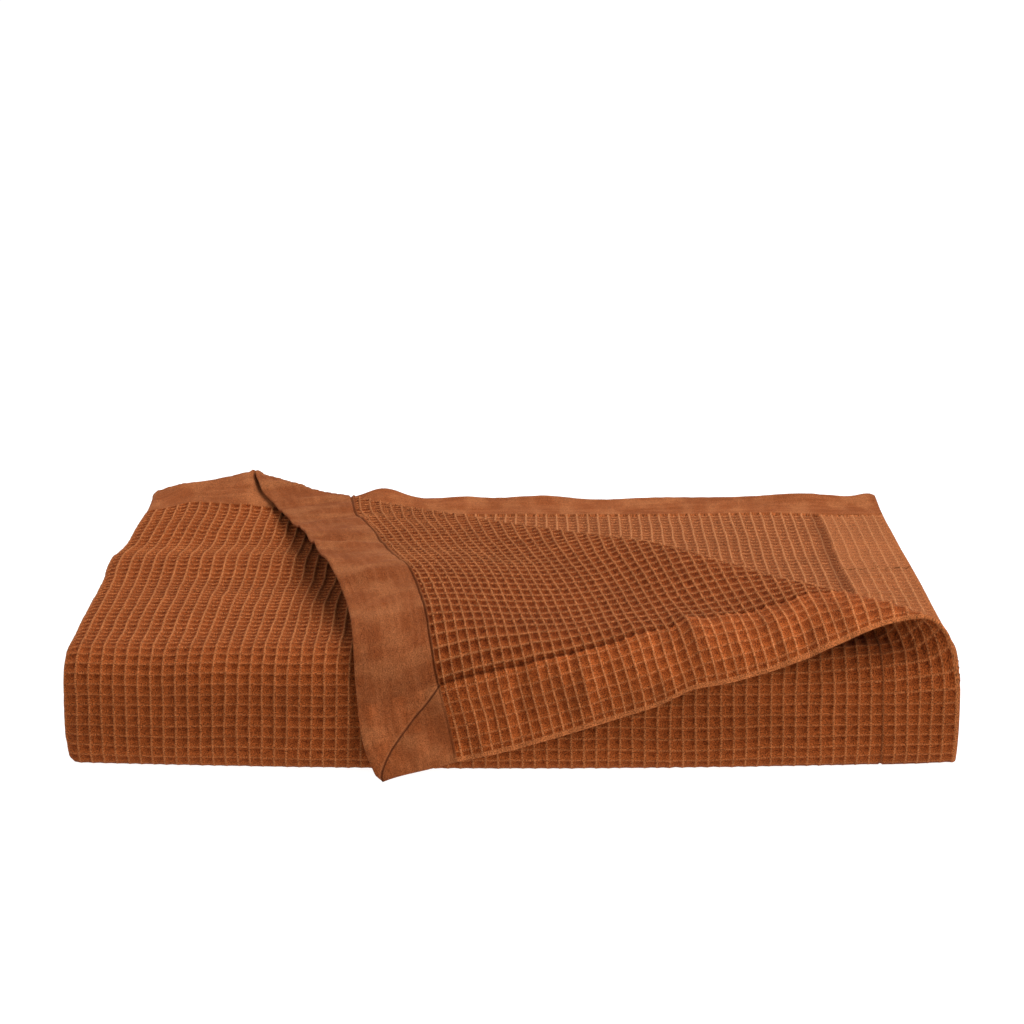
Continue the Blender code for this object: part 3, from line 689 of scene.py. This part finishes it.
SLOPES = {
    # side: least and most painted shade where both slopes meet, painted shade of one alone, darkness of its
    # stitching
    "face": (0.46, 0.86, 0.32, 0.75),
    "reverse": (0.62, 1.10, 0.36, 0.45),
}
CELLS_BEFORE = 100  # so that no cell's number falls below 0
HEM_COLUMNS, BELOW_ROWS, BELOW_COLUMNS = 0.45, 0.45, -0.35  # what a ridge loses
CALM_RIDGES, HEM_PITS, HEM_SLOPE = 0.35, 0.30, 0.10
CALM_PALE, BELOW_PAINTED_SHEEN, BELOW_RIDGE_PAINTED_SHEEN, EDGE_PALE = 0.70, 0.14, 0.35, 0.85
PLAIN_YARN, STITCHING_BEYOND, BAND_STITCHING = 0.45, 0.0004, -0.0014
WIDE_BEYOND, PAINTED_GROOVE_SHADE, CROSS_SHADE = 0.0040, 0.62, 0.60
MITRE_BOW, HIGHLIGHT_ASIDE, MITRE_SHARE, MITRE_DENT = 0.0040, 0.0017, 0.80, 1.5
YARN_BUMP, FUZZ_BUMP, SLUB_BUMP, THREAD_BUMP = 1.25, 0.75, 0.50, 0.25


def cotton(name, side, shift, column, row, relief):
    """Rust cotton.  Colour runs from painted shade in the pits to painted highlights on the ridges of
    the cell that (u, v) falls in, or is the plain weave's on the ends.  Bump carries yarn, fuzz and slubs,
    and the cells where relief > 0."""
    material = bpy.data.materials.new(name)
    material.use_nodes = True
    nodes, links = material.node_tree.nodes, material.node_tree.links
    shader = nodes["Principled BSDF"]
    shader.inputs["Roughness"].default_value = 0.92
    shader.inputs["Specular IOR Level"].default_value = 0.06
    shader.inputs["Sheen Weight"].default_value = 0.05
    shader.inputs["Sheen Roughness"].default_value = 0.45
    shader.inputs["Sheen Tint"].default_value = (1.0, 0.55, 0.30, 1)

    def fed(node, inputs, output=0):
        """An output of a node, once its inputs are linked to sockets or set to constants."""
        for key, value in inputs.items():
            if isinstance(value, bpy.types.NodeSocket):
                links.new(value, node.inputs[key])
            else:
                node.inputs[key].default_value = value
        return node.outputs[output]

    def maths(operation, *values):
        node = nodes.new("ShaderNodeMath")
        node.operation = operation
        return fed(node, dict(enumerate(values)))

    def minus(a, b):
        return maths("SUBTRACT", a, b)

    def plus(a, b, share=1.0):
        """a + share * b."""
        return maths("MULTIPLY_ADD", b, share, a)

    def times(product, *others):
        for other in others:
            product = maths("MULTIPLY", product, other)
        return product

    def less(share, amount=1.0):
        """1 - share * amount."""
        return plus(1.0, share, -amount)

    def between(share, a, b):
        """a + share * (b - a)."""
        return plus(a, minus(b, a), share)

    def step(value, what):
        """The soft step of a value in that row of STEPS."""
        node = nodes.new("ShaderNodeMapRange")
        node.interpolation_type = "SMOOTHSTEP"
        row = dict(zip(("From Min", "From Max", "To Min", "To Max"), STEPS[what]))
        return fed(node, {"Value": value, **row})

    def near(place, line, what):
        """The soft step of the distance from a line."""
        return step(maths("ABSOLUTE", minus(place, line)), what)

    def blend(share, a, b, kind="MIX"):
        """Colour a turned into b by a share."""
        node = nodes.new("ShaderNodeMix")
        node.data_type = "RGBA"
        node.blend_type = kind
        return fed(node, {0: share, 6: a, 7: b}, 2)

    def noise(what):
        scale, stretch, detail = NOISE[what]
        place = fed(nodes.new("ShaderNodeMapping"), {"Vector": cloth_map.outputs[0], "Scale": stretch})
        node = nodes.new("ShaderNodeTexNoise")
        return fed(node, {"Vector": place, "Scale": scale, "Detail": detail}, "Fac")

    # Where on the cloth.
    cloth_map = nodes.new("ShaderNodeUVMap")
    cloth_map.uv_map = "cloth"
    split = nodes.new("ShaderNodeSeparateXYZ")
    links.new(cloth_map.outputs[0], split.inputs[0])
    u, v = split.outputs[0], split.outputs[1]
    from_side, from_end = maths("MINIMUM", u, minus(PANEL_U, u)), maths("MINIMUM", v, minus(PANEL_V, v))
    turned, plain = step(from_side, "hem"), step(from_end, "hem")
    below = step(u, "layer below")
    corner_hem = times(turned, less(below))
    rolled = step(maths("MINIMUM", from_end, from_side), "rolled edge")
    cells = [plus(shift + CELLS_BEFORE, maths("DIVIDE", minus(place, HEM), cell))
             for place, cell in ((u, CELL_U), (v, CELL_V))]
    in_u, in_v = [maths("FRACT", number) for number in cells]
    off_u, off_v = [maths("PINGPONG", number, 0.5) for number in cells]

    # Ridges and pits.  A pit gets painted shade down its slopes across and along the panel, more on
    # one side of the cell than the other, and a ridge gets a painted highlight.
    columns, rows = times(step(off_u, "column"), column), times(step(off_v, "row"), row)
    if side == "reverse":
        calm = times(turned, below, step(v, "calm of the far hem"))
        columns = times(columns, less(corner_hem, HEM_COLUMNS), less(below, BELOW_COLUMNS))
        rows = times(rows, less(below, BELOW_ROWS))
        slope_u = step(in_u, "reverse, across")
        slope_v = between(below, step(in_v, "reverse, along"), step(in_v, "layer below, along"))
        first = between(below, slope_v, slope_u)
        second = between(below, maths("MAXIMUM", slope_u, times(turned, HEM_SLOPE)), slope_v)
        ridge_left, pit_left = less(calm, CALM_RIDGES), times(less(calm), less(corner_hem, HEM_PITS))
    else:
        first = step(in_u, "face, across")
        second = times(step(in_v, "face, along"), step(in_v, "face, foot of the slope"))
        # Down the front the painted highlights and the painted shade of the pits are weaker, as less light
        # falls there.
        ridge_left, pit_left = step(v, "painted highlights down the front"), step(v, "painted shade of the pits down the front")
    least, most, alone, stitched = SLOPES[side]
    ridge = times(maths("MAXIMUM", columns, rows), ridge_left)
    both = times(plus(least, first, 1 - least), second, most)
    painted_pit_shade = times(maths("MINIMUM", plus(both, first, alone), 1.0), pit_left)

    # Colour of the waffle: painted shade in the pits, painted highlights on the ridges and, on the layer
    # below, a pale painted sheen; then of the plain ends, with paler patches painted as highlights of soft
    # folds.
    yarn, fuzz, slub = noise("yarn"), noise("fuzz"), noise("slub")
    waffle = blend(times(painted_pit_shade, step(fuzz, "fuzz in a pit")), RUST["wall"], RUST["painted_pit_shade"])
    if side == "reverse":
        waffle = blend(times(calm, CALM_PALE), waffle, RUST["hem, pale"])
    waffle = blend(times(ridge, step(fuzz, "fuzz on a ridge")), waffle, RUST["crown, painted highlight"])
    if side == "reverse":
        # Painted sheen: the layer below, lit at a grazing angle from behind, is paler, its ridges most.
        pale = times(below, plus(BELOW_PAINTED_SHEEN, ridge, BELOW_RIDGE_PAINTED_SHEEN))
        waffle = blend(pale, waffle, RUST["reverse, painted sheen"])
    waffle = blend(times(rolled, EDGE_PALE), waffle, RUST["rolled edge"])
    woven = blend(step(slub, "slub"), RUST["plain"], RUST["plain, pale"])
    # Paler soft patches on the plain ends: painted highlights of their broad soft folds.
    woven = blend(step(noise("painted fold highlight"), "painted fold highlight"), woven, RUST["plain, painted fold highlight"])
    colour = blend(plain, waffle, woven)

    # The stitching of the hems, broken by the fuzz.  On the layer below a wide painted shade lies in the
    # groove beside it.
    dark = times(near(from_side, HEM + STITCHING_BEYOND, "stitching"), stitched)
    if side == "reverse":
        wide = near(from_side, HEM + WIDE_BEYOND, "painted shade in the groove by the stitching")
        dark = maths("MAXIMUM", dark, times(wide, below, PAINTED_GROOVE_SHADE))
        crossing = near(v, CROSS_SEAM, "stitching")
        dark = maths("MAXIMUM", dark, times(crossing, turned, below, CROSS_SHADE))
    dark = times(dark, less(plain))
    if side == "reverse":
        sewn = near(from_end, HEM + BAND_STITCHING, "stitching of the band")
        dark = maths("MAXIMUM", dark, times(sewn, step(from_side, "along the band")))
    colour = blend(times(dark, step(fuzz, "fuzz on stitching")), colour, RUST["stitching"])

    # Light and dark of the yarn, and of the whole cloth in soft patches.
    shade = plus(step(fuzz, "fuzz"), step(yarn, "yarn"), less(plain, PLAIN_YARN))
    shade = plus(shade, step(noise("cloud"), "cloud"))
    if side == "reverse":
        # Painted shade darkens the turned corner's waffle, and painted light brightens its hem.
        tone = times(less(below), step(turned, "painted shade and light of the turned corner"))
        # Painted streaks of light and shade across the turned corner's hem stand for its folds.
        painted_fold_shading = times(corner_hem, step(noise("painted_fold_shading"), "painted_fold_shading"))
        shade = times(shade, less(tone, -1.0), less(painted_fold_shading, -1.0))
    colour = blend(1.0, colour, shade, "MULTIPLY")

    height = plus(times(yarn, YARN_BUMP), fuzz, FUZZ_BUMP)
    height = plus(height, times(plain, slub), SLUB_BUMP)
    height = plus(height, times(plain, noise("thread")), THREAD_BUMP)
    if relief:
        height = plus(height, times(ridge, less(plain)), relief)

    # The mitre, a little bowed, from the corner's tip to where the stitching of its two hems meets.  Beyond
    # it the turned triangle is darkened by painted shade, and beside it lies a painted highlight on the
    # fold.
    if side == "reverse":
        along = times(plus(u, v), math.pi / (2 * HEM))
        aside = plus(minus(u, v), maths("SINE", along), -MITRE_BOW)
        inner = maths("LESS_THAN", maths("MAXIMUM", u, v), HEM)
        cut = times(inner, near(aside, 0.0, "mitre"))
        beyond = times(inner, step(aside, "painted shade beyond the mitre"))
        # A painted highlight on the fold beside the mitre.
        fold = times(inner, near(aside, HIGHLIGHT_ASIDE, "painted highlight beside the mitre"))
        colour = blend(beyond, colour, RUST["painted shade beyond the mitre"])
        colour = blend(fold, colour, RUST["hem, pale"])
        colour = blend(times(cut, MITRE_SHARE), colour, RUST["mitre"])
        height = plus(height, cut, -MITRE_DENT)
    bump = fed(nodes.new("ShaderNodeBump"), {"Strength": 1.0, "Distance": 0.0006, "Height": height})
    links.new(bump, shader.inputs["Normal"])
    links.new(colour, shader.inputs["Base Color"])
    return material


face_cotton = cotton("rust_waffle_cotton_face", "face", 0.0, 1.0, 0.60, 0.0)
reverse_cotton = cotton("rust_waffle_cotton_reverse", "reverse", 0.5, 0.75, 1.0, 0.0)
rest_cotton = cotton("rust_waffle_cotton_stack", "face", 0.0, 1.0, 0.70, 1.6)

# Where the pieces meet.  The finely woven ones, in the sections below, are the top layer to just past
# its outer folds and what its turned corner bares of the second layer; the stack is all the rest.
LEFT_PAST, FOOT_PAST, LEFT_SHORT, BEND_SHORT = 0.008, 0.004, 0.030, 0.004
TOP_END_U, TOP_END_V = ACROSS_STARTS[2] + LEFT_PAST, ALONG_STARTS[4] + FOOT_PAST
SECOND_START_U, SECOND_END_V = PANEL_U - (HEM_X - LEFT) + LEFT_SHORT, TOP_RUN - BEND_SHORT
COVER_FROM_LINE, COVER_FROM_EDGE, BARED_FROM = 0.060, 0.112, -0.018
NEAR_FOLD, SPREAD, REST_APART, BEND_LINES = 0.012, 22, 6e-4, 7


def past_line(u, v):
    """How far a point of the top layer, before it is turned, lies beyond the turning line."""
    x = HEM_X - u + TOP_LEAN * np.clip(BACK - v - FRONT, 0, None)
    return line_frame(x, BACK - v)[1]


def below_line(u, v):
    """The same for the second layer, which lies under the first with its reverse up."""
    return line_frame(HEM_X - (PANEL_U - u), BACK - v)[1]


def covered(u, v):
    """Whether a point of the top layer lies well under the turned corner: 60 mm or more short of the
    line, and its reflection across the line 112 mm or more inside the panel."""
    out = past_line(u, v)
    there_u, there_v = u + 2 * out * LINE_OUT[0], v + 2 * out * LINE_OUT[1]
    return (out < -COVER_FROM_LINE) & (there_u > COVER_FROM_EDGE) & (there_v > COVER_FROM_EDGE)


def in_rest(u, v):
    """Outside the finely woven pieces, or in the part of the top layer that is covered."""
    bared = (u > SECOND_START_U) & (v < SECOND_END_V) & (below_line(u, v) > BARED_FROM)
    return (~((u < TOP_END_U) & (v < TOP_END_V)) | covered(u, v)) & ~bared


def rest_lines(starts, runs, phase, cell):
    """Lines of the rest of the cloth: two to a cell near every fold, and wide apart between."""
    marks = []
    for k in range(len(runs)):
        low, high = starts[k], starts[k + 1]
        if runs[k][3]:
            marks.append(np.linspace(low, high, 2 * max(3, round((high - low) / cell)) + 1))
        else:
            steps = np.arange(math.ceil((low - phase) / cell * 2), (high - phase) / cell * 2)
            every = phase + cell / 2 * steps
            gap = np.minimum(every - low, high - every)
            marks.append(every[(gap > 0) & (gap < NEAR_FOLD)])
            marks.append(every[gap >= NEAR_FOLD][::SPREAD])
    return spaced(np.concatenate(marks + [[starts[0], starts[-1]]]), REST_APART)


rest_u = rest_lines(ACROSS_STARTS, ACROSS, HEM, CELL_U)
rest_u = np.unique(np.concatenate([rest_u, [round(TOP_END_U, 6)]]))
bends = [np.linspace(ALONG_STARTS[k], ALONG_STARTS[k + 1], BEND_LINES)
         for k, run in enumerate(ALONG) if run[3]]
rest_v = lines(0.0, PANEL_V, HEM, CELL_V, (0.0, 0.5), [TOP_END_V, SECOND_END_V, *np.concatenate(bends)])
stack = sheet_mesh("folded_stack", rest_u, rest_v, in_rest, (rest_cotton, rest_cotton))
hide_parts("blanket")
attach(stack, "root")

# ---- The top layer ----
# The outermost layer of the same cotton, its face up.  It runs from the right hem over the left fold
# and down over the front, and is pressed flat only where the stack lies on it.
FACE_LINES = (0.0, 0.12, 0.5, 0.88)  # lines within a cell, which begins at a ridge
BORDER_LINES = (*(HEM + np.array([-0.0022, -0.0014, -0.0007, 0.0006, 0.0014, 0.0022])),
                0.0004, 0.0010, 0.0020)  # by the hems' stitching and the cloth's edge
TOP_TO = 0.030  # beyond the turning line

top_u = lines(0.0, TOP_END_U, HEM, CELL_U, FACE_LINES, BORDER_LINES)
top_v = lines(0.0, TOP_END_V, HEM, CELL_V, FACE_LINES, BORDER_LINES)
top = sheet_mesh("top_layer", top_u, top_v, lambda u, v: (past_line(u, v) < TOP_TO) & ~covered(u, v),
                 (face_cotton, reverse_cotton))
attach(top, "root")

# ---- The turned corner ----
# The top layer's free corner, woven in one with it, turned over by hand so that its reverse shows: the
# hem's puckers, the mitre at the tip, and the plain woven end with its long soft creases.
REVERSE_LINES = (0.0, 0.38, 0.5, 0.62)  # on the reverse the ridges lie at mid cell
CORNER_FROM = 0.022  # beyond the turning line

corner_u = lines(0.0, TOP_END_U, HEM, CELL_U, REVERSE_LINES, BORDER_LINES)
corner_v = lines(0.0, TOP_END_V, HEM, CELL_V, REVERSE_LINES, BORDER_LINES)
corner = sheet_mesh("turned_corner", corner_u, corner_v, lambda u, v: past_line(u, v) > CORNER_FROM,
                    (face_cotton, reverse_cotton), face_up=False)
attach(corner, "root")

# ---- The layer below ----
# What the turned corner bares of the second layer, its reverse up, with its own stitched hem and plain
# woven end at the back.  The back edge draws in a little where the cloth is gathered.
SECOND_FROM = -0.030  # short of the turning line
CROSS_LINES = (CROSS_SEAM - 0.0009, CROSS_SEAM, CROSS_SEAM + 0.0009)

second_u = lines(SECOND_START_U, PANEL_U, HEM, CELL_U, REVERSE_LINES,
                 tuple(PANEL_U - mark for mark in BORDER_LINES))
second_v = lines(0.0, SECOND_END_V, HEM, CELL_V, REVERSE_LINES, BORDER_LINES + CROSS_LINES)
second = sheet_mesh("layer_below", second_u, second_v, lambda u, v: below_line(u, v) > SECOND_FROM,
                    (face_cotton, reverse_cotton), face_up=False)
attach(second, "root")

# ---- Floor, light and camera ----
# A pale floor that fades into a pale studio, a soft light above and behind the stack, two weaker ones
# in front at the right and from the left, and a camera in front that looks down at it.
FLOOR_REACH, FLOOR_GREY = 12, 0.25
LIGHTS = [
    # name, diameter, watts, place
    ("key", 1.8, 53, (0.66, 0.36, 2.00)),
    ("fill", 1.8, 26, (1.12, -1.60, 0.95)),
    ("left", 1.6, 15, (-1.50, 0.10, 1.20)),
]
LIGHT_AIM = mathutils.Vector((0, 0, 0.05))
CAMERA_BEFORE, CAMERA_UP, CAMERA_DOWN = 1.5681, 0.6513, 16.8
SENSOR, PICTURE_WIDTH, FOCAL_LENGTH = 36.0, 1024, 2520  # the last two in pixels

floor_mesh = bpy.data.meshes.new("floor")
corners = [(x * FLOOR_REACH, y * FLOOR_REACH, 0) for x, y in ((-1, -1), (1, -1), (1, 1), (-1, 1))]
floor_mesh.from_pydata(corners, [], [(0, 1, 2, 3)])
floor = add("floor", floor_mesh)
pale_floor = bpy.data.materials.new("pale_floor")
pale_floor.use_nodes = True
floor_shader = pale_floor.node_tree.nodes["Principled BSDF"]
floor_shader.inputs["Base Color"].default_value = (FLOOR_GREY, FLOOR_GREY, FLOOR_GREY, 1)
floor_shader.inputs["Roughness"].default_value = 0.9
floor_shader.inputs["Specular IOR Level"].default_value = 0.0
floor_shader.inputs["Emission Color"].default_value = (1, 1, 1, 1)
floor_shader.inputs["Emission Strength"].default_value = 0.96
floor_mesh.materials.append(pale_floor)

world = bpy.data.worlds.new("studio")
world.use_nodes = True
world.node_tree.nodes["Background"].inputs["Color"].default_value = (1.0, 0.99, 0.98, 1)
world.node_tree.nodes["Background"].inputs["Strength"].default_value = 0.38
bpy.context.scene.world = world

for name, diameter, watts, spot in LIGHTS:
    light_data = bpy.data.lights.new(name, "AREA")
    light_data.shape = "DISK"
    light_data.size = diameter
    light_data.energy = watts
    light = add(name, light_data)
    light.location = spot
    light.rotation_euler = (LIGHT_AIM - light.location).to_track_quat("-Z", "Y").to_euler()

camera_data = bpy.data.cameras.new("camera")
camera_data.sensor_width = SENSOR
camera_data.lens = SENSOR * FOCAL_LENGTH / PICTURE_WIDTH
camera = add("camera", camera_data)
camera.location = (0.0, FRONT - CAMERA_BEFORE, CAMERA_UP)
camera.rotation_euler = (math.radians(90 - CAMERA_DOWN), 0, 0)
bpy.context.scene.camera = camera
bpy.context.scene.view_settings.view_transform = "Standard"
